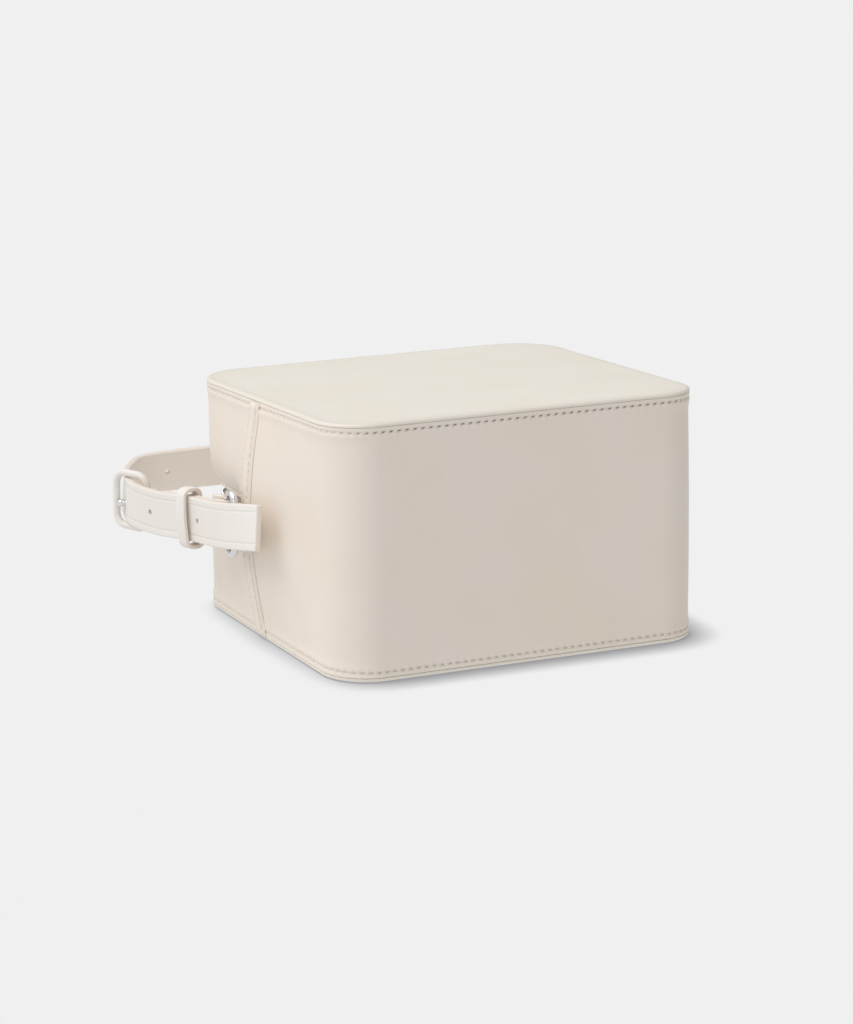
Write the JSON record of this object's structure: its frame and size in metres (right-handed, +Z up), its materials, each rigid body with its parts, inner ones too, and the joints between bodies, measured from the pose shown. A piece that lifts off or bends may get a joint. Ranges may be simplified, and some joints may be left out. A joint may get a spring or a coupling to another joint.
{
  "type": "box bag",
  "caption": "Leather box bag with rounded corners, a zipped mouth and a buckled top handle on two end rings, lying on one of its side panels.",
  "frame": {"origin": "middle of the bounding box, at floor level, with the bag lying on its lower side panel", "axes": "+X along the bag's base towards the end without the buckle, +Y from the base to the zipped mouth, +Z up through both side panels"},
  "size_m": [0.2352, 0.2072, 0.1134],
  "materials": {
    "panel_leather": "smooth cream calf leather, soft satin",
    "gusset_leather": "smooth cream calf leather, soft satin, row of stitches beside each seam",
    "strap_leather": "smooth cream leather with a creased line along each edge",
    "zip_tape": "woven tape",
    "zip_metal": "polished silver colour",
    "silver_metal": "polished silver colour"
  },
  "bodies": {
    "root": {"side_panel_lower": "panel_leather", "side_panel_upper": "panel_leather", "main_gusset": "gusset_leather", "zip_gusset_lower": "gusset_leather", "zip_gusset_upper": "gusset_leather", "zip_tape": "zip_tape", "zip_teeth": "zip_metal", "zip_slider": "zip_metal", "end_strip_left": "gusset_leather", "end_strip_right": "gusset_leather", "ring_tab_left": "gusset_leather", "ring_tab_right": "gusset_leather", "ring_left": "silver_metal", "ring_right": "silver_metal", "tongue_strap": "strap_leather", "buckle_strap": "strap_leather", "keeper_loop": "strap_leather", "buckle_frame": "strap_leather", "buckle_prong": "silver_metal"}
  },
  "joints": []
}
